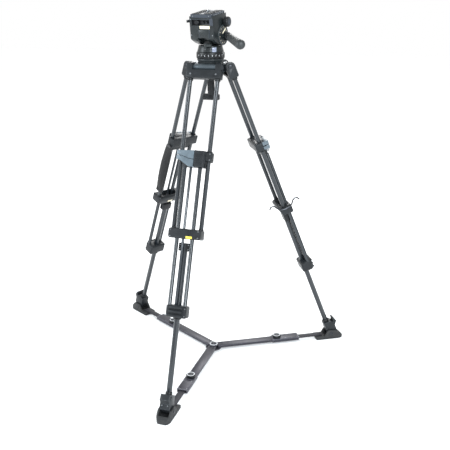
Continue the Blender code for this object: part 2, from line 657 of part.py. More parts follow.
def handle_clamp(frame):
    """The rosette clamp with the bare root of the handle's tube."""
    start = HEAD_WIDTH / 2 + 0.0040 + GAP
    body = finish(rod_mesh((start, 0, 0), (start + 0.014, 0, 0), 0.0150, sides=28, bevel=0.0015),
                  "handle_clamp", frame, CASTING)
    root = Vector((start + 0.009, 0.0, 0.0))
    unite(body, rod_mesh(root, root + handle_direction() * HANDLE_BARE, 0.0100, sides=20))
    unite(body, rod_mesh((start + 0.012, 0, 0), (start + 0.022, 0, 0), 0.0110, sides=12, bevel=0.001))
    return body


def handle_grip(frame):
    """The soft grip over the rest of the handle's tube."""
    root = Vector((HEAD_WIDTH / 2 + 0.0133, 0.0, 0.0)) + handle_direction() * (HANDLE_BARE + GAP)
    profile = [(0.0, 0.325), (0.0075, 0.3242), (0.0128, 0.3212), (0.0158, 0.3150), (0.0166, 0.3060),
               (0.0160, 0.24), (0.0148, 0.15), (0.0137, 0.060), (0.0135, 0.012), (0.0128, 0.0), (0.0, 0.0)]
    mesh = turned_mesh(profile, steps=20)
    mesh.transform(Matrix.Translation(root) @ handle_direction().to_track_quat("Z", "X").to_matrix().to_4x4())
    return finish(mesh, "handle_grip", frame, RUBBER)


# ---------------------------------------------------------------- assembly
def build_leg(leg, degrees):
    yaw = empty(f"yaw_{leg}", (0, 0, 0), (0, 0, math.radians(degrees)))
    hip = empty(f"hip_{leg}", (0, -HIP_RADIUS, HIP_HEIGHT), (-LEG_ANGLE, 0, 0), parent=yaw)
    for piece in (upper_frame, guide_bracket, collar, mid_frame, lock_rod, lower_tube, ankle):
        piece(leg, hip)
    for number in (1, 2):
        lock_lever(leg, hip, number)
    for piece in (shoe, arm_inner, arm_sleeve, arm_knob, arm_bar):
        piece(leg, yaw)
    return hip


def build_head():
    base = empty("level_centre", (0, 0, 0))
    head_base(base)
    bowl_clamp(base)
    yaw = empty("head_yaw", (0, 0, 0), (0, 0, HEAD_YAW), parent=base)
    for piece in (pan_drag_ring, pan_housing, level_vial, pan_lock, tilt_pedestal):
        piece(yaw)
    axis = empty("tilt_axis", (0, TILT_FORWARD, TILT_HEIGHT), (TILT_REST, 0, 0), parent=yaw)
    for piece in (tilt_body, sliding_plate, camera_screw, plate_lock_knob, plate_release):
        piece(axis)
    frame = handle_frame(axis)
    handle_clamp(frame)
    handle_grip(frame)


crown()
spreader_hub()
hips = {leg: build_leg(leg, degrees) for leg, degrees in LEGS.items()}
carry_strap(hips["c"])
strap_hooks(hips["b"])
build_head()
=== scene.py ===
"""A camera tripod with a fluid head: its finishes and fittings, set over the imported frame."""
import math

import bpy
import numpy as np
from mathutils import Matrix, Quaternion, Vector
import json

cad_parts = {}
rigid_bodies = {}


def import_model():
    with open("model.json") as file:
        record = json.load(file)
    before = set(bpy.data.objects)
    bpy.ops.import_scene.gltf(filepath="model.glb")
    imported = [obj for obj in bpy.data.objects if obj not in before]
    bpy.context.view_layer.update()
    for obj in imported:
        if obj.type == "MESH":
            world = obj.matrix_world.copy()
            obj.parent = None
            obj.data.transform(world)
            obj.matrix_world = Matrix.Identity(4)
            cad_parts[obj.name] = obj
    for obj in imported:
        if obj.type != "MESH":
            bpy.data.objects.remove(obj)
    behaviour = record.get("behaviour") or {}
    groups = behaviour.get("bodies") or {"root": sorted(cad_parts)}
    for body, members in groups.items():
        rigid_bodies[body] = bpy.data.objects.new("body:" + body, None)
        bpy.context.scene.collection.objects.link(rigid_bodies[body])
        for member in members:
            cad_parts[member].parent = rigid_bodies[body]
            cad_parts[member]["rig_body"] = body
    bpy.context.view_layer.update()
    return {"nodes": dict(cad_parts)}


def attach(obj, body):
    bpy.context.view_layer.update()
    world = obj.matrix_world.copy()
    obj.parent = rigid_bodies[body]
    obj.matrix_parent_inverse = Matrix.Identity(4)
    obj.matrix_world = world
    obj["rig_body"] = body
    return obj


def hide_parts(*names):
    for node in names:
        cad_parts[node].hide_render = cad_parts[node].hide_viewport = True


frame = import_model()

# ---------------------------------------------------------------- places, in metres
LEG_TURNS = {"a": 0.0, "b": 120.0, "c": 240.0}
LEG_ANGLE = 21.5
HIP_RADIUS, HIP_HEIGHT = 0.0633, 1.213
UPPER_SPACING, UPPER_RADIUS = 0.054, 0.00825
LOWER_OUT, LOWER_RADIUS = 0.0028, 0.0107
FORK_FACE, COLLAR_FACE, BRACKET_FACE, BLOCK_FACE = -0.018, -0.034, -0.032, -0.030
SHOE_HALF, TOE = 0.0275, 0.593
KNOB_OUT = 0.285
HEAD_HALF, BODY_REAR, PLATE_TOP = 0.049, -0.068, 0.084
DISC_FACE = HEAD_HALF + 0.004
LEVEL_TURN = 45.5
HANDLE_SPLAY = math.radians(34.0)
HANDLE_CENTRE, HANDLE_BARE = HEAD_HALF + 0.0133, 0.0403
OUTWARD, UPWARD = (0, -1, 0), (0, 0, 1)
TINY = 0.0001


def turned(degrees, axis):
    return Matrix.Rotation(math.radians(degrees), 4, axis)


def moved(x, y, z):
    return Matrix.Translation((x, y, z))


def ground(leg):
    return turned(LEG_TURNS[leg], "Z")


def hip(leg):
    """A leg's own frame: X across, -Y outwards and -Z down the leg from its hinge."""
    return ground(leg) @ moved(0, -HIP_RADIUS, HIP_HEIGHT) @ turned(-LEG_ANGLE, "X")


HEAD = turned(-10.0, "Z")
TILT = HEAD @ moved(0, 0.005, 1.327) @ turned(7.0, "X")
HANDLE = TILT @ moved(0, 0.020, -0.009) @ turned(-6.0, "X")
HANDLE_ROOT = Vector((HANDLE_CENTRE, 0.0, 0.0))
GRIP_WAY = Vector((math.sin(HANDLE_SPLAY), -math.cos(HANDLE_SPLAY), 0.0))


def facing(direction):
    """Turns +Z to a direction."""
    return Vector(direction).to_track_quat("Z", "Y").to_matrix().to_4x4()


# ---------------------------------------------------------------- camera, light and floor
def camera():
    data = bpy.data.cameras.new("camera")
    data.lens, data.sensor_width = 55.16, 36.0
    data.clip_start, data.clip_end = 0.05, 60.0
    made = bpy.data.objects.new("camera", data)
    made.location = (0.8732, -2.5408, 1.4787)
    look = Vector((0.0492, 0.0159, 0.5709)) - made.location
    made.rotation_mode = "QUATERNION"
    made.rotation_quaternion = look.to_track_quat("-Z", "Y") @ Quaternion((0, 0, 1), math.radians(-0.26))
    bpy.context.scene.collection.objects.link(made)
    bpy.context.scene.camera = made


def softbox(name, place, target, size, power, colour=(1.0, 1.0, 1.0)):
    data = bpy.data.lights.new(name, "AREA")
    data.shape, data.size, data.energy, data.color = "SQUARE", size, power, colour
    made = bpy.data.objects.new(name, data)
    made.location = place
    made.rotation_mode = "QUATERNION"
    made.rotation_quaternion = (Vector(target) - Vector(place)).to_track_quat("-Z", "Y")
    bpy.context.scene.collection.objects.link(made)


def studio():
    world = bpy.data.worlds.new("studio")
    world.use_nodes = True
    world.node_tree.nodes["Background"].inputs["Color"].default_value = (1.0, 1.0, 1.0, 1.0)
    world.node_tree.nodes["Background"].inputs["Strength"].default_value = 1.0
    bpy.context.scene.world = world
    softbox("key", (2.3, -3.2, 2.4), (0, 0, 0.8), 1.7, 230.0, (0.88, 0.95, 1.0))
    softbox("side", (-3.0, -1.9, 1.9), (0, 0, 0.8), 1.6, 110.0, (0.88, 0.95, 1.0))
    softbox("back", (-0.6, 3.0, 2.6), (0, 0, 0.9), 1.4, 50.0)
    bpy.context.scene.view_settings.view_transform = "Standard"
    bpy.ops.object.select_all(action="DESELECT")
    bpy.ops.mesh.primitive_plane_add(size=30.0, location=(0, 0, -0.0005))
    floor = bpy.context.object
    floor.name = "floor"
    pale = bpy.data.materials.new("floor_paper")
    pale.use_nodes = True
    pale.node_tree.nodes["Principled BSDF"].inputs["Base Color"].default_value = (1.0, 1.0, 1.0, 1.0)
    pale.node_tree.nodes["Principled BSDF"].inputs["Roughness"].default_value = 0.9
    floor.data.materials.append(pale)


# ---------------------------------------------------------------- finishes
class Value:
    """A socket of a finish's shader; Python's operators on it add Math nodes."""

    def __init__(self, finish, socket):
        self.finish, self.socket = finish, socket

    def maths(self, operation, first, second):
        return self.finish.node("ShaderNodeMath", {"operation": operation}, {0: first, 1: second})

    def __add__(self, other):
        return self.maths("ADD", self, other)

    def __sub__(self, other):
        return self.maths("SUBTRACT", self, other)

    def __rsub__(self, other):
        return self.maths("SUBTRACT", other, self)

    def __mul__(self, other):
        return self.maths("MULTIPLY", self, other)

    __radd__, __rmul__ = __add__, __mul__


class Finish:
    """One finish: a Principled shader with its patterns in the piece's own coordinates."""

    def __init__(self, name, colour, roughness, metallic=0.0, **sockets):
        self.material = bpy.data.materials.new(name)
        self.material.use_nodes = True
        self.tree = self.material.node_tree
        self.shader = self.tree.nodes["Principled BSDF"]
        self.colour = (*colour, 1.0)
        self.material.diffuse_color = self.colour
        self.set("Base Color", self.colour)
        self.set("Roughness", roughness)
        self.set("Metallic", metallic)
        for key, value in sockets.items():
            self.set(key.replace("_", " "), value)
        self.own = self.node("ShaderNodeAttribute", {"attribute_name": "own"}, {}, "Vector")

    def set(self, name, value):
        self.feed(self.shader.inputs[name], value)

    def feed(self, socket, value):
        if isinstance(value, Value):
            self.tree.links.new(value.socket, socket)
        else:
            socket.default_value = value

    def node(self, kind, settings, values, output=0):
        made = self.tree.nodes.new(kind)
        for key, value in settings.items():
            setattr(made, key, value)
        for key, value in values.items():
            self.feed(made.inputs[key], value)
        return Value(self, made.outputs[output])

    def stretched(self, x, y, z):
        return self.node("ShaderNodeMapping", {}, {"Vector": self.own, "Scale": (x, y, z)}, "Vector")

    def noise(self, scale, detail=3.0, rough=0.55, across=None):
        return self.node("ShaderNodeTexNoise", {}, {"Vector": across or self.own, "Scale": scale,
                                                    "Detail": detail, "Roughness": rough})

    def cells(self, scale, across=None):
        return self.node("ShaderNodeTexVoronoi", {"feature": "DISTANCE_TO_EDGE"},
                         {"Vector": across or self.own, "Scale": scale}, "Distance")

    def between(self, value, low, high, to_low=0.0, to_high=1.0):
        """Maps low..high to to_low..to_high, and holds the ends."""
        return self.node("ShaderNodeMapRange", {}, {0: value, 1: low, 2: high, 3: to_low, 4: to_high})

    def mix(self, factor, first, second):
        return self.node("ShaderNodeMix", {"data_type": "RGBA"}, {0: factor, 6: first, 7: second}, 2)

    def vary(self, factor, colour, darker, paler):
        """Moves the base colour between a darker and a paler shade of itself."""
        self.set("Base Color", self.mix(factor, shade(colour, darker), shade(colour, paler)))

    def bump(self, height):
        """Raises the surface by a height in metres."""
        self.set("Normal", self.node("ShaderNodeBump", {}, {"Height": height, "Distance": 1.0}, "Normal"))


def shade(colour, times):
    return (*(channel * times for channel in colour), 1.0)


def painted(name, colour, roughness, grain=0.00003, coat=0.0, shine=0.22):
    """Powder coat or moulded satin plastic: an even orange peel with soft handling marks."""
    made = Finish(name, colour, roughness, Coat_Weight=coat, Coat_Roughness=0.3, Specular_IOR_Level=shine)
    mottle = made.noise(38.0, 4.0)
    rubbed = made.between(made.noise(16.0, 5.0, 0.7), 0.56, 0.72)
    made.vary(made.between(mottle, 0.3, 0.7), colour, 0.82, 1.22)
    made.set("Roughness", made.between(mottle, 0.3, 0.7, roughness - 0.05, roughness + 0.06) - rubbed * 0.07)
    made.bump(made.noise(1900.0, 2.0) * grain + made.noise(420.0, 2.0) * (grain * 1.6))
    return made.material


def metal(name, colour, roughness, brushed, metallic=0.92, scale=900.0, shine=0.25):
    """Anodised or bare alloy, with its draw lines along one of its own directions."""
    made = Finish(name, colour, roughness, metallic, Specular_IOR_Level=shine)
    lines = made.noise(scale, 3.0, 0.6, made.stretched(*brushed))
    cloud = made.noise(11.0, 4.0)
    scuff = made.between(made.noise(60.0, 6.0, 0.75, made.stretched(*brushed)), 0.62, 0.70)
    made.vary(made.between(cloud, 0.32, 0.68), colour, 0.86, 1.16)
    made.set("Roughness", made.between(lines, 0.3, 0.7, roughness - 0.05, roughness + 0.07) + scuff * 0.10)
    made.bump(lines * 0.000012)
    return made.material


def rubber(name, colour, roughness, dust):
    """Moulded rubber with a fine pebble and dust in its hollows."""
    made = Finish(name, colour, roughness, Specular_IOR_Level=0.35)
    pebble = made.cells(1100.0)
    dirt = made.between(made.noise(55.0, 6.0, 0.7), 0.50, 0.74)
    made.set("Base Color", made.mix(dirt * dust, shade(colour, 1.0), (0.17, 0.165, 0.155, 1.0)))
    made.set("Roughness", made.between(dirt, 0.0, 1.0, roughness, min(0.95, roughness + 0.15)))
    made.bump(made.between(pebble, 0.0, 0.30) * 0.00005 + made.noise(260.0) * 0.00006)
    return made.material


def worn(name, paint, bare, amount):
    """An edge's finish: a paler copy of the paint as a painted highlight, rubbed through to the alloy in
    patches where hands and bags catch it.
    """
    made = Finish(name, paint, 0.4, Specular_IOR_Level=0.3)
    patchy = made.between(made.noise(120.0, 5.0, 0.7), 0.60 - amount, 0.68 - amount * 0.6)
    # The paler paint, shade(paint, 1.5), is the painted highlight; the patchy mask is wear through to the
    # bare alloy.
    made.set("Base Color", made.mix(patchy, shade(paint, 1.5), shade(bare, 1.0)))
    made.set("Metallic", patchy * 0.85)
    made.set("Roughness", made.between(made.noise(800.0), 0.3, 0.7, 0.30, 0.46))
    return made.material


def leather(name, colour):
    """Grained leathercloth: pebbled cells with fine creases, painted darker as shade in the hollows between
    the pebbles.
    """
    made = Finish(name, colour, 0.55, Specular_IOR_Level=0.25)
    pebble = made.cells(520.0)
    crease = made.noise(90.0, 5.0, 0.65)
    # Darker where the pebble bump is low and lighter where it is high: painted shade in the hollows and
    # painted light on the pebbles.
    made.vary(made.between(pebble, 0.0, 0.22), colour, 0.55, 1.2)
    made.set("Roughness", made.between(crease, 0.3, 0.7, 0.48, 0.66))
    made.bump(made.between(pebble, 0.0, 0.25) * 0.00022 + crease * 0.0005)
    return made.material


def webbing(name, colour):
    """Woven tape: crossing ribs along and across its own length, painted lighter on their crests and darker
    between them as painted highlight and shade.
    """
    made = Finish(name, colour, 0.85, Sheen_Weight=0.25, Sheen_Roughness=0.5)
    ribs = made.node("ShaderNodeTexWave", {"bands_direction": "Z"}, {"Vector": made.own, "Scale": 190.0,
                                                                     "Distortion": 0.4, "Detail": 1.0})
    cross = made.node("ShaderNodeTexWave", {"bands_direction": "Y"}, {"Vector": made.own, "Scale": 150.0})
    # Lighter where both ribs are high and darker in the hollows: painted highlight and shade on the weave.
    made.vary(ribs * cross, colour, 0.6, 1.5)
    made.bump(ribs * 0.00018 + cross * 0.0001)
    return made.material


def window(name, colour):
    """The level's frosted window, with a painted glow as though it were evenly lit from behind."""
    # The emission is a painted glow; the window is no lamp.
    made = Finish(name, colour, 0.12, Coat_Weight=0.6, Coat_Roughness=0.06, Emission_Strength=0.28)
    cloud = made.noise(300.0, 2.0)
    made.vary(cloud, colour, 0.93, 1.05)
    made.set("Emission Color", made.mix(cloud, shade(colour, 0.9), shade(colour, 1.1)))
    return made.material


def printed(name, colour):
    """Ink or a label's film, a little rubbed."""
    made = Finish(name, colour, 0.45)
    made.vary(made.between(made.noise(900.0, 4.0), 0.45, 0.75), colour, 1.0, 0.82)
    made.bump(made.noise(1500.0) * 0.000015)
    return made.material


ALONG_LEG, ALONG_Y = (1.0, 1.0, 0.02), (1.0, 0.03, 1.0)
ROUND, UP_AND_DOWN = (0.05, 0.05, 1.0), (1.0, 1.0, 0.05)
FINISHES = {
    "tube": metal("anodised_tube", (0.014, 0.018, 0.022), 0.24, ALONG_LEG, 0.25, shine=0.65),
    "thin_tube": metal("bright_tube", (0.024, 0.029, 0.035), 0.22, ALONG_LEG, 0.35, shine=0.65),
    "casting": painted("powder_coat", (0.012, 0.014, 0.016), 0.38, 0.00004),
    # Paler than the powder coat: a painted highlight on the bevels and rosette teeth, worn to bare alloy in
    # patches.
    "casting_edge": worn("powder_coat_edge", (0.022, 0.025, 0.028), (0.16, 0.17, 0.19), 0.03),
    "lever": painted("lever_grey", (0.078, 0.103, 0.122), 0.30, 0.00002, 0.1, 0.4),
    # Paler than the lever grey: a painted highlight on the levers' bevels and thumb grooves.
    "lever_edge": painted("lever_rubbed_edge", (0.17, 0.21, 0.245), 0.28, 0.00001, 0.0, 0.4),
    "lock_black": painted("lock_black", (0.020, 0.024, 0.025), 0.35, 0.00002),
    "black": painted("moulded_black", (0.008, 0.009, 0.010), 0.36, 0.00003),
    # Paler than the moulded black: a painted highlight on the bevels.
    "black_edge": painted("moulded_black_edge", (0.020, 0.022, 0.024), 0.32, 0.00002),
    "rubber": rubber("foot_rubber", (0.014, 0.015, 0.016), 0.58, 0.12),
    "grip": rubber("grip_rubber", (0.016, 0.019, 0.020), 0.46, 0.03),
    "arm": metal("spreader_anodising", (0.030, 0.030, 0.038), 0.34, ALONG_Y, 0.35),
    "bar": painted("bar_black", (0.022, 0.022, 0.026), 0.48, 0.00002, 0.0, 0.15),
    # Paler than the spreader's anodising: a painted highlight on the bevels and sleeve lips, worn to bare
    # alloy in patches.
    "arm_edge": worn("spreader_edge", (0.045, 0.045, 0.055), (0.26, 0.26, 0.29), 0.08),
    "silver": metal("bowl_alloy", (0.075, 0.092, 0.105), 0.36, ROUND, 0.6, 500.0),
    "plate": metal("plate_anodising", (0.040, 0.046, 0.056), 0.50, ALONG_Y, 0.3, shine=0.12),
    "head": painted("head_paint", (0.010, 0.013, 0.014), 0.34, 0.00003, 0.0, 0.3),
    # Paler than the head paint: a painted highlight on the bevels and the disc rim, worn to bare alloy in
    # patches.
    "head_edge": worn("head_paint_edge", (0.028, 0.034, 0.038), (0.15, 0.17, 0.19), 0.03),
    "steel": metal("turned_steel", (0.20, 0.215, 0.23), 0.32, UP_AND_DOWN, 0.9),
    "dark_steel": metal("blackened_steel", (0.035, 0.037, 0.042), 0.30, UP_AND_DOWN, 0.6),
    "leather": leather("strap_leather", (0.009, 0.009, 0.010)),
    "webbing": webbing("strap_webbing", (0.018, 0.018, 0.020)),
    "window": window("vial_window_glow", (0.24, 0.27, 0.36)),
    "cream": printed("cream_print", (0.72, 0.66, 0.50)),
    "white": printed("white_print", (0.60, 0.62, 0.64)),
    "yellow": printed("yellow_tag", (0.62, 0.52, 0.07)),
    "dark": printed("dark_print", (0.02, 0.02, 0.022)),
}


# ---------------------------------------------------------------- making and placing
SMOOTH_ANGLE, FLAT_ANGLE = math.radians(38.0), math.radians(1.2)
MERGE_CAD, MERGE_RING = 0.000004, 0.000002


def activate(piece):
    bpy.ops.object.select_all(action="DESELECT")
    piece.select_set(True)
    bpy.context.view_layer.objects.active = piece


def edit(piece, kind="FACE", everything=True):
    activate(piece)
    bpy.ops.object.mode_set(mode="EDIT")
    bpy.ops.mesh.select_mode(type=kind)
    bpy.ops.mesh.select_all(action="SELECT" if everything else "DESELECT")


def leave():
    bpy.ops.object.mode_set(mode="OBJECT")


def write_own(mesh, towards=None):
    """Keeps each point's place in the piece's own frame, for its patterns."""
    co = np.empty(len(mesh.vertices) * 3, np.float32)
    mesh.vertices.foreach_get("co", co)
    if towards is not None:
        back = np.array(towards.inverted(), np.float32)
        co = (co.reshape(-1, 3) @ back[:3, :3].T + back[:3, 3]).astype(np.float32).ravel()
    own = mesh.attributes.get("own") or mesh.attributes.new("own", "FLOAT_VECTOR", "POINT")
    own.data.foreach_set("vector", co)


def soften(piece, width, segments=2, angle=30.0, edge_slot=-1):
    """Rounds the piece's sharp edges and shades it smooth between them."""
    activate(piece)
    if width:
        bevel = piece.modifiers.new("soften", "BEVEL")
        bevel.width, bevel.segments, bevel.limit_method = width, segments, "ANGLE"
        bevel.angle_limit = math.radians(angle)
        bevel.use_clamp_overlap, bevel.harden_normals = True, False
        bevel.material = edge_slot
        bpy.ops.object.modifier_apply(modifier=bevel.name)
    bpy.ops.object.shade_smooth_by_angle(angle=SMOOTH_ANGLE)


def dressed(node, at, finish, edge=None, width=0.0006, areas=()):
    """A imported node's shape with its faces joined up, its edges softened and its own finish.

    Each of areas is a finish and a test of a face's middle in the node's own frame."""
    source = frame["nodes"][node]
    piece = bpy.data.objects.new(f"{node}_shell", source.data.copy())
    bpy.context.scene.collection.objects.link(piece)
    piece.data.materials.clear()
    for named in [finish, edge or finish] + [area[0] for area in areas]:
        piece.data.materials.append(FINISHES[named])
    edit(piece)
    bpy.ops.mesh.remove_doubles(threshold=MERGE_CAD)
    bpy.ops.mesh.customdata_custom_splitnormals_clear()
    bpy.ops.mesh.dissolve_limited(angle_limit=FLAT_ANGLE)
    leave()
    back = at.inverted()
    for face in piece.data.polygons:
        face.material_index = 0
        centre = back @ face.center
        for index, (_, test) in enumerate(areas):
            if test(centre):
                face.material_index = 2 + index
    # Where an edge finish is given, the bevels take it: a paler copy of the body's finish, a painted
    # highlight.
    soften(piece, width, edge_slot=1 if edge else -1)
    write_own(piece.data, at)
    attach(piece, frame["nodes"][node]["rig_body"])
    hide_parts(node)
    return piece


def disc(name, profile, sides=32):
    """A turned shape round Z: a disc extruded and resized through (radius, height) steps."""
    bpy.ops.object.select_all(action="DESELECT")
    radius, height = profile[0]
    bpy.ops.mesh.primitive_circle_add(vertices=sides, radius=radius, fill_type="NGON")
    piece = bpy.context.object
    piece.name = name
    edit(piece)
    bpy.ops.transform.translate(value=(0, 0, height))
    for wider, higher in profile[1:]:
        bpy.ops.mesh.extrude_region_move(TRANSFORM_OT_translate={"value": (0, 0, higher - height)})
        if abs(wider - radius) > 1e-7:
            times = wider / radius
            bpy.ops.transform.resize(value=(times, times, 1.0), center_override=(0, 0, higher))
        radius, height = wider, higher
    bpy.ops.mesh.select_all(action="SELECT")
    bpy.ops.mesh.normals_make_consistent(inside=False)
    leave()
    return piece


def ring(name, profile, sides=40):
    """A turned ring round Z: an open loop extruded through its section, then joined to its start."""
    bpy.ops.object.select_all(action="DESELECT")
    radius, height = profile[0]
    bpy.ops.mesh.primitive_circle_add(vertices=sides, radius=radius, fill_type="NOTHING")
    piece = bpy.context.object
    piece.name = name
    edit(piece, "EDGE")
    bpy.ops.transform.translate(value=(0, 0, height))
    for wider, higher in profile[1:] + profile[:1]:
        bpy.ops.mesh.extrude_region_move(TRANSFORM_OT_translate={"value": (0, 0, higher - height)})
        times = wider / radius
        bpy.ops.transform.resize(value=(times, times, 1.0), center_override=(0, 0, higher))
        radius, height = wider, higher
    bpy.ops.mesh.select_all(action="SELECT")
    bpy.ops.mesh.remove_doubles(threshold=MERGE_RING)
    bpy.ops.mesh.normals_make_consistent(inside=False)
    leave()
    return piece


def block(name, low, high, bevel=0.0008, segments=2):
    """A box between two corners with every edge bevelled."""
    bpy.ops.object.select_all(action="DESELECT")
    bpy.ops.mesh.primitive_cube_add(size=1.0)
    piece = bpy.context.object
    piece.name = name
    low, high = Vector(low), Vector(high)
    edit(piece)
    bpy.ops.transform.resize(value=high - low, center_override=(0, 0, 0))
    bpy.ops.transform.translate(value=(low + high) / 2)
    bpy.ops.mesh.bevel(offset=bevel, segments=segments, affect="EDGES")
    leave()
    return piece


def sheet_shape(name, outline, low, high, bevel=0.0):
    """A flat outline in X and Y, extruded from one height to another."""
    bpy.ops.object.select_all(action="DESELECT")
    bpy.ops.mesh.primitive_circle_add(vertices=len(outline), radius=1.0, fill_type="NGON")
    piece = bpy.context.object
    piece.name = name
    for vertex, (x, y) in zip(piece.data.vertices, outline):
        vertex.co = (x, y, low)
    edit(piece)
    bpy.ops.mesh.extrude_region_move(TRANSFORM_OT_translate={"value": (0, 0, high - low)})
    bpy.ops.mesh.select_all(action="SELECT")
    bpy.ops.mesh.normals_make_consistent(inside=False)
    leave()
    soften(piece, bevel)
    return piece


def joined(name, pieces):
    activate(pieces[0])
    for piece in pieces:
        piece.select_set(True)
    if len(pieces) > 1:
        bpy.ops.object.join()
    pieces[0].name = name
    return pieces[0]


def smoothed(name, pieces):
    """Several pieces joined as one, shaded smooth between their edges."""
    made = joined(name, pieces)
    soften(made, 0.0)
    return made


def copied(piece, at):
    """Another of the same piece, with its own mesh, moved by a matrix."""
    made = bpy.data.objects.new(piece.name + "_copy", piece.data.copy())
    bpy.context.scene.collection.objects.link(made)
    made.data.transform(at)
    return made


def fitted(piece, at, body, finish):
    """Sets a modelled piece into its place on the tripod."""
    write_own(piece.data)
    piece.data.transform(at)
    piece.data.materials.clear()
    piece.data.materials.append(FINISHES[finish])
    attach(piece, body)
    return piece


def fitted_to_legs(model, body, finish, legs="abc", frame_of=hip):
    """One copy of a modelled piece for each leg, riding on that leg's body."""
    made = []
    for leg in legs:
        piece = copied(model, Matrix.Identity(4))
        piece.name = f"{model.name}_{leg}"
        made.append(fitted(piece, frame_of(leg), body.format(leg), finish))
    bpy.data.objects.remove(model)
    return made


def screw_head(radius=0.0032, height=0.0014):
    """A socket cap: chamfered rim and a round recess standing for its six-sided socket."""
    piece = disc("screw", [(radius, 0.0), (radius, height * 0.7), (radius * 0.86, height),
                           (radius * 0.56, height), (radius * 0.52, height * 0.45)], sides=18)
    bpy.ops.object.shade_smooth_by_angle(angle=SMOOTH_ANGLE)
    return piece


def screws(name, places, direction, radius=0.0032):
    """Several socket caps facing one way, as one piece."""
    model = screw_head(radius)
    turn = facing(direction)
    made = joined(name, [copied(model, Matrix.Translation(place) @ turn) for place in places])
    bpy.data.objects.remove(model)
    return made


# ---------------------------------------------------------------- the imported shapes, finished
def split_face(centre):
    """True for the faces of the split between a collar's two levers, which take the black finish as painted
    shade in the gap.
    """
    return -0.3515 < centre.z < -0.3355 and centre.y > -0.0330 and -0.0600 < centre.x < 0.0


def finish_legs():
    for leg in LEG_TURNS:
        at, flat = hip(leg), ground(leg)
        dressed(f"upper_frame_{leg}", at, "tube", width=0.0008,
                areas=[("casting", lambda centre: centre.z > -0.0445)])
        dressed(f"guide_bracket_{leg}", at, "casting", "casting_edge", 0.0006)
        dressed(f"collar_{leg}", at, "casting", "casting_edge", 0.0006)
        dressed(f"mid_frame_{leg}", at, "tube", width=0.0006,
                areas=[("casting", lambda centre: centre.z < -0.8895)])
        dressed(f"lock_rod_{leg}", at, "thin_tube", width=0.0003)
        dressed(f"lower_tube_{leg}", at, "tube", width=0.0005,
                areas=[("black", lambda centre: centre.z > -0.6905)])
        dressed(f"ankle_{leg}", at, "casting", "casting_edge", 0.0008)
        for number in (1, 2):
            # The split between the levers is painted black as shade in the gap.
            dressed(f"lock_lever_{number}_{leg}", at, "lever", "lever_edge", 0.0009,
                    areas=[("black", split_face)])
        dressed(f"shoe_{leg}", flat, "rubber", width=0.0016)
        dressed(f"arm_inner_{leg}", flat, "arm", "arm_edge", 0.0005)
        dressed(f"arm_sleeve_{leg}", flat, "arm", "arm_edge", 0.0006)
        dressed(f"arm_bar_{leg}", flat, "bar", "arm_edge", 0.0005)
        dressed(f"arm_knob_{leg}", flat, "black", "black_edge", 0.0005)
    dressed("spreader_hub", ground("a"), "arm", "arm_edge", 0.0006)
    dressed("strap_hooks", hip("b"), "dark_steel", width=0.0)


def finish_head():
    dressed("crown", ground("a"), "silver", width=0.0006)
    dressed("bowl_clamp", ground("a"), "black", "black_edge", 0.0006)
    dressed("head_base", ground("a"), "head", "head_edge", 0.0005)
    dressed("pan_drag_ring", HEAD, "black", "black_edge", 0.0004)
    dressed("pan_housing", HEAD, "head", "head_edge", 0.0005)
    dressed("level_vial", HEAD, "window", width=0.0006)
    dressed("pan_lock_lever", HEAD, "lock_black", "black_edge", 0.0006)
    dressed("tilt_pedestal", HEAD, "head", width=0.0005)
    dressed("tilt_body", TILT, "head", "head_edge", 0.0009,
            areas=[("black", lambda centre: -0.0676 < centre.y < -0.0555 and 0.0436 < centre.z < 0.0644)])
    dressed("sliding_plate", TILT, "plate", width=0.0008)
    dressed("camera_screw", TILT, "steel", width=0.0003)
    dressed("plate_lock_knob", TILT, "black", "black_edge", 0.0006)
    dressed("plate_release_lever", TILT, "black", "black_edge", 0.0005)
    dressed("handle_clamp", HANDLE, "casting", "casting_edge", 0.0005)


# ---------------------------------------------------------------- leg fittings
def top_of_legs():
    """Hinge pin caps, fork screws and the sockets where the upper tubes enter the fork."""
    cap = disc("pin_caps", [(0.0078, 0.0), (0.0078, 0.0009), (0.0070, 0.0014), (0.0040, 0.0014),
                            (0.0036, 0.0006)], 28)
    pair = [copied(cap, moved(0.0684, 0, 0) @ facing((1, 0, 0))),
            copied(cap, moved(-0.0684, 0, 0) @ facing((-1, 0, 0)))]
    bpy.data.objects.remove(cap)
    caps = joined("pin_caps", pair)
    soften(caps, 0.0)
    fitted_to_legs(caps, "crown", "dark_steel")
    places = [(side, FORK_FACE, -0.0300) for side in (-0.0500, 0.0500)]
    bolts = screws("fork_screws", places, OUTWARD, 0.0034)
    fitted_to_legs(bolts, "leg_{}_upper", "steel")
    sockets = []
    for side in (-UPPER_SPACING, UPPER_SPACING):
        socket = ring("socket", [(UPPER_RADIUS + 0.0001, -0.0435), (0.0112, -0.0435), (0.0112, -0.0500),
                                 (0.0100, -0.0525), (UPPER_RADIUS + 0.0001, -0.0525)])
        socket.data.transform(moved(side, 0, 0))
        sockets.append(socket)
    made = joined("tube_sockets", sockets)
    soften(made, 0.0003)
    fitted_to_legs(made, "leg_{}_upper", "black")
    face = [block("fork_face", (-0.0440, FORK_FACE - 0.0006, -0.0425), (0.0440, FORK_FACE + 0.0004, -0.0350),
                  0.0004, 1),
            block("fork_rib", (-0.0640, FORK_FACE - 0.0004, -0.0335), (0.0640, FORK_FACE + 0.0004, -0.0322),
                  0.0003, 1)]
    panel = joined("fork_panel", face)
    soften(panel, 0.0)
    fitted_to_legs(panel, "leg_{}_upper", "casting")


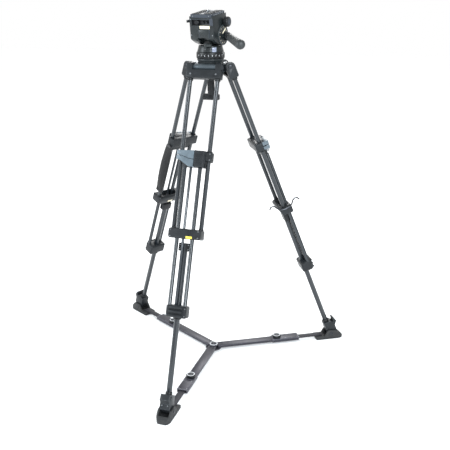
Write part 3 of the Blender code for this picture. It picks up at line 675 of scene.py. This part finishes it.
def collar_fittings():
    """Bushes, screws, cooling-fin ribs and the lever pins on each sliding collar."""
    bushes = []
    for side in (-UPPER_SPACING, UPPER_SPACING):
        for low, high in ((-0.3175, -0.3157), (-0.3563, -0.3545)):
            bush = ring("bush", [(UPPER_RADIUS + 0.0004, low), (0.0112, low), (0.0112, high),
                                 (UPPER_RADIUS + 0.0004, high)], 32)
            bush.data.transform(moved(side, 0, 0))
            bushes.append(bush)
    made = joined("collar_bushes", bushes)
    soften(made, 0.0003)
    fitted_to_legs(made, "leg_{}_mid", "black")
    ribs = []
    for step in range(7):
        down = -0.3260 - 0.0070 * step
        ribs.append(block("rib", (0.0095, COLLAR_FACE - 0.0010, down),
                          (0.0420, COLLAR_FACE + 0.0004, down + 0.0026), 0.0005, 2))
    made = smoothed("collar_ribs", ribs)
    fitted_to_legs(made, "leg_{}_mid", "casting")
    pin = disc("lever_pin", [(0.0016, -0.3806), (0.0026, -0.3800), (0.0026, -0.3790), (0.0014, -0.3788)], 16)
    top = disc("lever_pin_top", [(0.0014, -0.3174), (0.0026, -0.3172), (0.0026, -0.3160),
                                 (0.0016, -0.3154)], 16)
    made = joined("lever_pin_ends", [pin, top])
    made.data.transform(moved(0.0082, -0.0300, 0))
    soften(made, 0.0)
    fitted_to_legs(made, "leg_{}_mid", "steel")
    places = [(0.0590, -0.0090, down) for down in (-0.3250, -0.3470)]
    bolts = screws("collar_screws", places, OUTWARD, 0.0030)
    fitted_to_legs(bolts, "leg_{}_mid", "steel")


def lever_fittings():
    """The thumb grooves of each lock lever."""
    for number, rows in ((1, (-0.3235, -0.3270, -0.3305)), (2, (-0.3410, -0.3445, -0.3480))):
        grooves = [block("groove", (-0.0600, COLLAR_FACE - 0.0007, down),
                         (-0.0480, COLLAR_FACE + 0.0005, down + 0.0015), 0.0004, 2) for down in rows]
        made = smoothed(f"lever_{number}_grip", grooves)
        # The grooves take the lever's paler edge colour, the painted highlight of its bevels.
        fitted_to_legs(made, f"lever_{number}_{{}}", "lever_edge")


def bracket_fittings():
    """Screws, bushes and tags on the guide brackets, with the slider's own screws."""
    bolts = screws("bracket_screws", [(side, BRACKET_FACE, down) for side in (-0.0540, 0.0540)
                                      for down in (-0.6385, -0.6145)], OUTWARD, 0.0027)
    fitted_to_legs(bolts, "leg_{}_upper", "steel")
    bushes = []
    for side in (-UPPER_SPACING, UPPER_SPACING):
        bush = ring("bush", [(UPPER_RADIUS + 0.0001, -0.6085), (0.0094, -0.6085), (0.0094, -0.6040),
                             (UPPER_RADIUS + 0.0001, -0.6030)], 32)
        bush.data.transform(moved(side, 0, 0))
        bushes.append(bush)
    made = joined("bracket_bushes", bushes)
    soften(made, 0.0002)
    fitted_to_legs(made, "leg_{}_upper", "black")
    ribs = [block("rib", (-0.0420, BRACKET_FACE - 0.0008, down),
                  (0.0420, BRACKET_FACE + 0.0004, down + 0.0022), 0.0005, 2) for down in (-0.6180, -0.6260)]
    made = smoothed("bracket_ribs", ribs)
    fitted_to_legs(made, "leg_{}_upper", "casting")
    bolts = screws("slider_screws", [(side, -0.0124, down) for side in (-0.0165, 0.0165)
                                     for down in (-0.6670, -0.6830)], OUTWARD, 0.0024)
    fitted_to_legs(bolts, "leg_{}_lower", "steel")
    tag = block("bracket_tag", (0.0085, BRACKET_FACE - 0.0016, -0.6430),
                (0.0325, BRACKET_FACE + 0.0002, -0.6345), 0.0005, 2)
    soften(tag, 0.0)
    fitted_to_legs(tag, "leg_{}_upper", "yellow", legs="a")
    tag = block("inner_tag", (-0.0120, 0.0, -0.0045), (0.0120, 0.0010, 0.0045), 0.0004, 1)
    tag.data.transform(moved(0, 0.0157, -0.6370) @ turned(-14.9, "X"))
    fitted_to_legs(tag, "leg_{}_upper", "cream", legs="c")


def foot_fittings():
    """Seals, pivot bolts and treads at the foot of each leg."""
    seal = ring("tube_seal", [(LOWER_RADIUS + 0.0006, -0.9345), (0.0160, -0.9345), (0.0152, -0.9400),
                              (0.0132, -0.9420), (LOWER_RADIUS + 0.0006, -0.9420)], 36)
    seal.data.transform(moved(0, -LOWER_OUT, 0))
    soften(seal, 0.0003)
    fitted_to_legs(seal, "leg_{}_mid", "black")
    ferrule = ring("tube_ferrule", [(LOWER_RADIUS + 0.0001, -1.2185), (0.0132, -1.2185), (0.0132, -1.2110),
                                    (0.0120, -1.2080), (LOWER_RADIUS + 0.0001, -1.2080)], 36)
    ferrule.data.transform(moved(0, -LOWER_OUT, 0))
    soften(ferrule, 0.0003)
    fitted_to_legs(ferrule, "leg_{}_lower", "black")
    bolts = screws("block_screws", [(side, BLOCK_FACE, down) for side in (-0.0345, 0.0345)
                                    for down in (-0.8990, -0.9260)], OUTWARD, 0.0024)
    fitted_to_legs(bolts, "leg_{}_mid", "steel")
    dots = screws("ankle_screws", [(side, -0.0330, -1.2540) for side in (-0.0110, 0.0110)], OUTWARD, 0.0026)
    fitted_to_legs(dots, "leg_{}_lower", "steel")
    bolt = disc("pivot_bolt", [(0.0080, 0.0), (0.0080, 0.0012), (0.0068, 0.0022), (0.0040, 0.0022),
                               (0.0036, 0.0010)], 24)
    pair = [copied(bolt, moved(side * SHOE_HALF, 0, 0) @ facing((side, 0, 0))) for side in (-1, 1)]
    bpy.data.objects.remove(bolt)
    bolts = joined("pivot_bolts", pair)
    soften(bolts, 0.0)
    out, up = 0.53319, 0.02774
    bolts.data.transform(moved(0, -out, up))
    fitted_to_legs(bolts, "foot_{}", "dark_steel", frame_of=ground)
    ribs = []
    for step in range(6):
        start = -0.4720 - 0.0155 * step
        for side in (-1, 1):
            ribs.append(block("tread", (side * (SHOE_HALF + 0.0002) - 0.0006, start - 0.0065, 0.0018),
                              (side * (SHOE_HALF + 0.0002) + 0.0006, start, 0.0090), 0.0005, 1))
    made = smoothed("shoe_treads", ribs)
    fitted_to_legs(made, "foot_{}", "rubber", frame_of=ground)
    toe = []
    for step in range(4):
        out, up = 0.5745 + 0.0042 * step, 0.0208 - 0.0037 * step
        half = math.sqrt(SHOE_HALF ** 2 - max(0.0, out - TOE + SHOE_HALF + 0.003) ** 2) - 0.0035
        toe.append(block("ridge", (-half, -out - 0.0018, up), (half, -out, up + 0.0016), 0.0006, 2))
    made = smoothed("toe_ridges", toe)
    fitted_to_legs(made, "foot_{}", "rubber", frame_of=ground)


def spreader_fittings():
    """Hub cap and screws, sleeve rivets and the light rings on the clamp knobs."""
    cap = disc("hub_cap", [(0.0098, 0.0284), (0.0098, 0.0292), (0.0088, 0.0299), (0.0042, 0.0299),
                           (0.0036, 0.0290)], 28)
    soften(cap, 0.0)
    fitted(cap, ground("a"), "spreader", "dark_steel")
    light = ring("hub_ring", [(0.0140, 0.0257), (0.0170, 0.0255), (0.0170, 0.0264), (0.0140, 0.0266)], 44)
    soften(light, 0.0002)
    fitted(light, ground("a"), "spreader", "white")
    places = [ground(leg) @ Vector((side, -0.0350, 0.0212)) for leg in LEG_TURNS
              for side in (-0.0090, 0.0090)]
    rivets = screws("hub_rivets", places, UPWARD, 0.0026)
    fitted(rivets, ground("a"), "spreader", "dark_steel")
    light = ring("knob_ring", [(0.0128, 0.0362), (0.0156, 0.0362), (0.0156, 0.0368), (0.0148, 0.0371),
                               (0.0132, 0.0371)], 36)
    light.data.transform(moved(0, -KNOB_OUT, 0))
    soften(light, 0.0)
    fitted_to_legs(light, "knob_{}", "white", frame_of=ground)
    centre = disc("knob_centre", [(0.0090, 0.0344), (0.0090, 0.0354), (0.0080, 0.0360), (0.0038, 0.0360),
                                  (0.0034, 0.0350)], 28)
    centre.data.transform(moved(0, -KNOB_OUT, 0))
    soften(centre, 0.0)
    fitted_to_legs(centre, "knob_{}", "dark_steel", frame_of=ground)
    flutes = []
    for step in range(16):
        turn = turned(22.5 * step, "Z")
        flute = block("flute", (-0.0011, 0.0172, 0.0285), (0.0011, 0.0187, 0.0352), 0.0006, 2)
        flute.data.transform(turn)
        flutes.append(flute)
    made = joined("knob_flutes", flutes)
    made.data.transform(moved(0, -KNOB_OUT, 0))
    soften(made, 0.0)
    fitted_to_legs(made, "knob_{}", "black", frame_of=ground)
    rivets = screws("sleeve_rivets", [(side, -out, 0.0242) for side in (-0.0165, 0.0165)
                                      for out in (0.3200, 0.3740)], UPWARD, 0.0020)
    fitted_to_legs(rivets, "sleeve_{}", "steel", frame_of=ground)
    lip = [block("lip", (-0.0222, -0.3840, 0.0225), (0.0222, -0.3800, 0.0248), 0.0006, 2),
           block("lip", (-0.0222, -0.3080, 0.0225), (0.0222, -0.3055, 0.0248), 0.0006, 2)]
    made = smoothed("sleeve_lips", lip)
    # The lips take the spreader's paler edge finish, a painted highlight worn in patches.
    fitted_to_legs(made, "sleeve_{}", "arm_edge", frame_of=ground)


# ---------------------------------------------------------------- bowl and head fittings
def bowl_fittings():
    """The bowl's rim, and the washer, flutes and end ribs of the clamp under it."""
    rim = ring("bowl_rim", [(0.0512, 1.2228), (0.0552, 1.2228), (0.0560, 1.2236), (0.0552, 1.2243),
                            (0.0512, 1.2243)], 64)
    soften(rim, 0.0)
    fitted(rim, ground("a"), "crown", "silver")
    washer = ring("clamp_washer", [(0.0255, 1.1783), (0.0300, 1.1783), (0.0300, 1.1794),
                                   (0.0255, 1.1794)], 48)
    soften(washer, 0.0002)
    fitted(washer, ground("a"), "bowl_clamp", "steel")
    flutes = []
    for step in range(14):
        flute = block("flute", (-0.0012, 0.0120, 1.1180), (0.0012, 0.0136, 1.1560), 0.0007, 2)
        flute.data.transform(turned(360.0 / 14 * step, "Z"))
        flutes.append(flute)
    made = smoothed("clamp_flutes", flutes)
    fitted(made, ground("a"), "bowl_clamp", "black")
    middles = [side * 0.0225 + shift for side in (-1, 1) for shift in (-0.006, 0.0, 0.006)]
    ends = [block("rib", (middle - 0.0010, -0.0111, 1.0880), (middle + 0.0010, 0.0111, 1.1010), 0.0005, 1)
            for middle in middles]
    made = smoothed("clamp_bar_ribs", ends)
    fitted(made, ground("a"), "bowl_clamp", "black")


def figure(name, text, size):
    """A generic figure for a dial, as a thin mesh lying in X and Y."""
    bpy.ops.object.select_all(action="DESELECT")
    bpy.ops.object.text_add()
    piece = bpy.context.object
    piece.data.body, piece.data.size = text, size
    piece.data.align_x, piece.data.align_y = "CENTER", "CENTER"
    piece.data.extrude, piece.data.resolution_u = 0.00012, 3
    bpy.ops.object.convert(target="MESH")
    piece = bpy.context.object
    piece.name = name
    edit(piece)
    bpy.ops.mesh.remove_doubles(threshold=0.00001)
    leave()
    return piece


def drag_dial():
    """Raised marks and figures round the drag ring."""
    upright = Matrix(((0, 0, 1, 0), (1, 0, 0, 0), (0, 1, 0, 0), (0, 0, 0, 1)))
    marks = []
    for number in range(8):
        digit = figure("digit", str(number), 0.0082)
        turn = turned(-100.7 + 15.4 * (number - 1), "Z")
        digit.data.transform(turn @ moved(0.0541, 0, 0) @ moved(0, 0, 1.2535) @ upright)
        marks.append(digit)
    tick = block("tick", (0.0536, -0.0006, 1.2575), (0.0544, 0.0006, 1.2625), 0.0001, 1)
    marks.append(tick)
    made = joined("drag_ring_figures", marks)
    fitted(made, HEAD, "drag_ring", "white")


def level_fittings():
    """The frame of the level's window and its bubble."""
    half, low, high = 0.0088, 1.2659, 1.2841
    back, front = -0.0494, -0.0476
    sides = [block("side", (side * half - 0.0012, back, low - 0.0010),
                   (side * half + 0.0012, front, high + 0.0006), 0.0004, 1) for side in (-1, 1)]
    sides += [block("side", (-half - 0.0012, back, start), (half + 0.0012, front, end), 0.0004, 1)
              for start, end in ((high - 0.0012, high + 0.0008), (low - 0.0010, low + 0.0008))]
    made = smoothed("level_frame", sides)
    turn = HEAD @ turned(LEVEL_TURN, "Z")
    fitted(made, turn, "pan", "silver")
    circle = ring("level_circle", [(0.0034, 0.0), (0.0040, 0.0), (0.0040, 0.0004), (0.0034, 0.0004)], 28)
    circle.data.transform(moved(0, -0.0488, 1.2750) @ facing(OUTWARD))
    fitted(circle, turn, "pan", "dark")


def tilt_fittings():
    """Label, side disc dial, recess controls, seams and screws on the tilting body."""
    label = block("body_label", (-0.0075, -0.0687, 0.0322), (0.0340, -0.0677, 0.0430), 0.0003, 1)
    soften(label, 0.0)
    fitted(label, TILT, "tilt", "cream")
    rule = block("label_rule", (-0.0040, -0.0689, 0.0368), (0.0310, -0.0685, 0.0380), TINY, 1)
    fitted(rule, TILT, "tilt", "dark")
    low, high = DISC_FACE - 0.0002, DISC_FACE + 0.0006
    # The rim takes the head's paler edge finish, a painted highlight round the disc.
    rim = ring("disc_rim", [(0.0330, low), (0.0368, low), (0.0368, high), (0.0330, high)], 56)
    rim.data.transform(facing((1, 0, 0)))
    soften(rim, 0.0003)
    fitted(rim, TILT, "tilt", "head_edge")
    marks = []
    for step in range(9):
        mark = block("mark", (DISC_FACE, 0.0262, -0.0005), (DISC_FACE + 0.0005, 0.0308, 0.0005), TINY, 1)
        mark.data.transform(turned(25.0 + 32.0 * step, "X"))
        marks.append(mark)
    pointer = block("mark", (DISC_FACE, -0.0150, -0.0026), (DISC_FACE + 0.0006, 0.0150, 0.0026), 0.0002, 1)
    pointer.data.transform(moved(0, 0.0060, 0.0135) @ turned(26.0, "X"))
    made = joined("disc_marks", marks + [pointer])
    fitted(made, TILT, "tilt", "cream")
    bolts = screws("body_screws", [(side, BODY_REAR, up) for side in (-0.0445, 0.0440)
                                   for up in (0.0090, 0.0660)], OUTWARD, 0.0026)
    fitted(bolts, TILT, "tilt", "steel")
    seam = block("body_seam", (-0.0400, -0.0688, 0.0653), (0.0330, -0.0676, 0.0668), 0.0003, 1)
    fitted(seam, TILT, "tilt", "plate")
    guard = block("corner_guard", (0.0345, -0.0694, 0.0440), (0.0486, -0.0677, 0.0690), 0.0007, 2)
    fitted(guard, TILT, "tilt", "plate")
    small = block("small_label", (0.0130, -0.0684, 0.0262), (0.0320, -0.0677, 0.0290), 0.0002, 1)
    fitted(small, TILT, "tilt", "plate")
    outline = [(-0.0120, 0.0280), (0.0320, 0.0280), (0.0285, 0.0000), (-0.0085, 0.0000)]
    panel = sheet_shape("body_panel", outline, 0.0, 0.0022, 0.0007)
    panel.data.transform(moved(0, -0.0678, 0) @ facing(OUTWARD))
    fitted(panel, TILT, "tilt", "head")
    # Strips of the paler plate finish along the raised panel's sides: painted highlights on the relief's
    # edges.
    edges = []
    for across, lean in ((-0.0105, -7.0), (0.0310, 7.0)):
        edge = block("relief", (-0.0012, -0.0702, -0.0150), (0.0012, -0.0677, 0.0150), 0.0009, 2)
        edge.data.transform(moved(across, 0, 0.0130) @ turned(lean, "Y"))
        edges.append(edge)
    made = joined("relief_edge_highlights", edges)
    fitted(made, TILT, "tilt", "plate")
    recess = moved(0, -0.0560, 0.0540)
    dial = disc("balance_wheel", [(0.0082, 0.0), (0.0088, 0.0012), (0.0088, 0.0078), (0.0078, 0.0088),
                                  (0.0058, 0.0088), (0.0052, 0.0080)], 32)
    place = recess @ moved(-0.0220, 0, 0) @ facing(OUTWARD)
    dial.data.transform(place)
    teeth = []
    for turn in range(0, 360, 30):
        tooth = block("tooth", (-0.0010, 0.0082, 0.0018), (0.0010, 0.0095, 0.0074), 0.0004, 1)
        tooth.data.transform(place @ turned(turn, "Z"))
        teeth.append(tooth)
    wheel = smoothed("balance_wheel", [dial] + teeth)
    fitted(wheel, TILT, "tilt", "black")
    buttons = []
    for across in (0.0020, 0.0170):
        button = disc("button", [(0.0045, 0.0), (0.0045, 0.0060), (0.0038, 0.0068), (0.0022, 0.0068),
                                 (0.0018, 0.0062)], 24)
        button.data.transform(recess @ moved(across, 0, 0) @ facing(OUTWARD))
        buttons.append(button)
    made = smoothed("recess_buttons", buttons)
    fitted(made, TILT, "tilt", "black")


def plate_fittings():
    """Ribbed pads, edge screws and the scale on the sliding plate."""
    strips = []
    for side in (-1, 1):
        low, high = sorted((side * 0.0120, side * 0.0400))
        strips.append(block("pad", (low, -0.0640, PLATE_TOP - 0.0002), (high, 0.0320, PLATE_TOP + 0.0010),
                            0.0004, 1))
        for step in range(15):
            along = -0.0615 + 0.0062 * step
            strips.append(block("rib", (low + 0.0010, along, PLATE_TOP + 0.0008),
                                (high - 0.0010, along + 0.0030, PLATE_TOP + 0.0018), 0.0004, 1))
    made = smoothed("plate_pads", strips)
    fitted(made, TILT, "plate", "rubber")
    places = [(side, BODY_REAR, 0.0772) for side in (-0.0330, 0.0330)]
    bolts = screws("plate_screws", places, OUTWARD, 0.0024)
    fitted(bolts, TILT, "plate", "steel")
    ticks = []
    for step in range(13):
        along, tall = -0.0500 + 0.0060 * step, 0.0042 if step % 3 == 0 else 0.0026
        ticks.append(block("tick", (0.0438, along, 0.0770), (0.0443, along + 0.0006, 0.0770 + tall),
                           TINY, 1))
    made = joined("plate_scale", ticks)
    fitted(made, TILT, "plate", "white")
    cap = disc("knob_cap", [(0.0120, 0.0), (0.0120, 0.0006), (0.0108, 0.0012), (0.0060, 0.0012),
                            (0.0054, 0.0006)], 32)
    cap.data.transform(moved(HEAD_HALF + 0.0238, 0.0150, 0.0460) @ facing((1, 0, 0)))
    soften(cap, 0.0)
    fitted(cap, TILT, "plate_knob", "plate")


def along_handle(out):
    """A place on the handle's line, this far out from its joint, with Z along it."""
    way = GRIP_WAY.to_track_quat("Z", "X").to_matrix().to_4x4()
    return HANDLE @ Matrix.Translation(HANDLE_ROOT + GRIP_WAY * out) @ way


def handle_fittings():
    """The rosette's teeth, the ferrule and the ribbed grip that stands for the plain one."""
    teeth = []
    for step in range(36):
        tooth = block("tooth", (HEAD_HALF + 0.0062, 0.0143, -0.0006), (HEAD_HALF + 0.0160, 0.0156, 0.0006),
                      0.0003, 1)
        tooth.data.transform(turned(10.0 * step, "X"))
        teeth.append(tooth)
    made = joined("rosette_teeth", teeth)
    # The teeth take the casting's paler edge finish, a painted highlight worn in patches.
    fitted(made, HANDLE, "handle", "casting_edge")
    profile = [(0.0106, -0.0004), (0.0128, 0.0010), (0.0134, 0.0040)]
    along = 0.0080
    while along < 0.3060:
        share = along / 0.3060
        radius = 0.0135 + 0.0030 * share ** 0.9
        profile += [(radius, along), (radius, along + 0.0030), (radius - 0.0008, along + 0.0036),
                    (radius - 0.0008, along + 0.0048)]
        along += 0.0054
    profile += [(0.0164, 0.3085), (0.0157, 0.3150), (0.0128, 0.3210), (0.0075, 0.3240), (0.0036, 0.3248),
                (0.0004, 0.3249)]
    grip = disc("handle_grip_rubber", profile, 40)
    soften(grip, 0.0)
    grip = fitted(grip, along_handle(HANDLE_BARE), "handle", "grip")
    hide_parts("handle_grip")
    ferrule = ring("handle_ferrule", [(0.0101, 0.0310), (0.0118, 0.0310), (0.0118, 0.0398),
                                      (0.0101, 0.0398)], 36)
    soften(ferrule, 0.0004)
    fitted(ferrule, along_handle(0.0), "handle", "steel")


# ---------------------------------------------------------------- the carry handle on leg C
THIN_EDGE, STUFFING, SEAM_LINE = 0.0045, 0.0150, 0.82


def fullness(share, edge):
    """How full the stuffed handle is at this share of its length and in from its edge."""
    swell = math.sin(math.pi * min(1.0, max(0.0, (share - 0.03) / 0.94))) ** 0.6
    return swell, 1.0 - (1.0 - edge) ** 2.4


def carry_handle():
    """A stuffed leathercloth handle, crowned between its seams, with stitches along both edges."""
    bpy.ops.object.select_all(action="DESELECT")
    bpy.ops.mesh.primitive_cube_add(size=1.0)
    pad = bpy.context.object
    pad.name = "carry_handle"
    low, high = Vector((0.0680, -0.0115, -0.5740)), Vector((0.0875, 0.0355, -0.3460))
    edit(pad)
    bpy.ops.transform.resize(value=high - low, center_override=(0, 0, 0))
    bpy.ops.transform.translate(value=(low + high) / 2)
    bpy.ops.mesh.subdivide(number_cuts=15)
    leave()
    middle, half = (low.y + high.y) / 2, (high.y - low.y) / 2
    for vertex in pad.data.vertices:
        x, y, z = vertex.co
        share = (z - low.z) / (high.z - low.z)
        across = (x - low.x) / (high.x - low.x)
        swell, crown = fullness(share, 1.0 - abs(y - middle) / half)
        thickness = THIN_EDGE + STUFFING * swell * crown
        vertex.co.x = low.x + 0.0005 + 0.0020 * (1.0 - crown) + across * thickness
        vertex.co.y = middle + (y - middle) * (0.60 + 0.40 * swell)
    smooth = pad.modifiers.new("round", "SUBSURF")
    smooth.levels = smooth.render_levels = 1
    activate(pad)
    bpy.ops.object.modifier_apply(modifier="round")
    bpy.ops.object.shade_smooth()
    pad = fitted(pad, hip("c"), "leg_c_mid", "leather")
    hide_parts("carry_strap")
    stitches = []
    for step in range(32):
        share = 0.13 + 0.0235 * step
        swell, crown = fullness(share, 1.0 - SEAM_LINE)
        out = low.x + 0.0005 + 0.0020 * (1.0 - crown) + THIN_EDGE + STUFFING * swell * crown
        across, down = SEAM_LINE * half * (0.60 + 0.40 * swell), low.z + share * (high.z - low.z)
        for side in (-1, 1):
            stitches.append(block("stitch", (out - 0.0012, middle + side * across - 0.0005, down - 0.0018),
                                  (out + 0.0002, middle + side * across + 0.0005, down + 0.0018), 0.0003, 1))
    made = smoothed("handle_stitches", stitches)
    fitted(made, hip("c"), "leg_c_mid", "webbing")
    tails = [block("tail", (0.0685, middle - 0.0120, start), (0.0752, middle + 0.0120, start + 0.0240),
                   0.0012, 2) for start in (low.z, high.z - 0.0240)]
    made = smoothed("handle_tails", tails)
    fitted(made, hip("c"), "leg_c_mid", "webbing")
    buckle = []
    for side in (-1, 1):
        near, far = sorted((side * 0.0130, side * 0.0160))
        buckle.append(block("frame", (0.0742, middle + near, low.z + 0.0030),
                            (0.0774, middle + far, low.z + 0.0220), 0.0010, 2))
    for start in (0.0030, 0.0110, 0.0190):
        buckle.append(block("frame", (0.0744, middle - 0.0150, low.z + start),
                            (0.0772, middle + 0.0150, low.z + start + 0.0028), 0.0010, 2))
    made = smoothed("handle_buckle", buckle)
    fitted(made, hip("c"), "leg_c_mid", "black")
    return pad


def main():
    camera()
    studio()
    finish_legs()
    finish_head()
    top_of_legs()
    collar_fittings()
    lever_fittings()
    bracket_fittings()
    foot_fittings()
    spreader_fittings()
    bowl_fittings()
    drag_dial()
    level_fittings()
    tilt_fittings()
    plate_fittings()
    handle_fittings()
    carry_handle()


main()
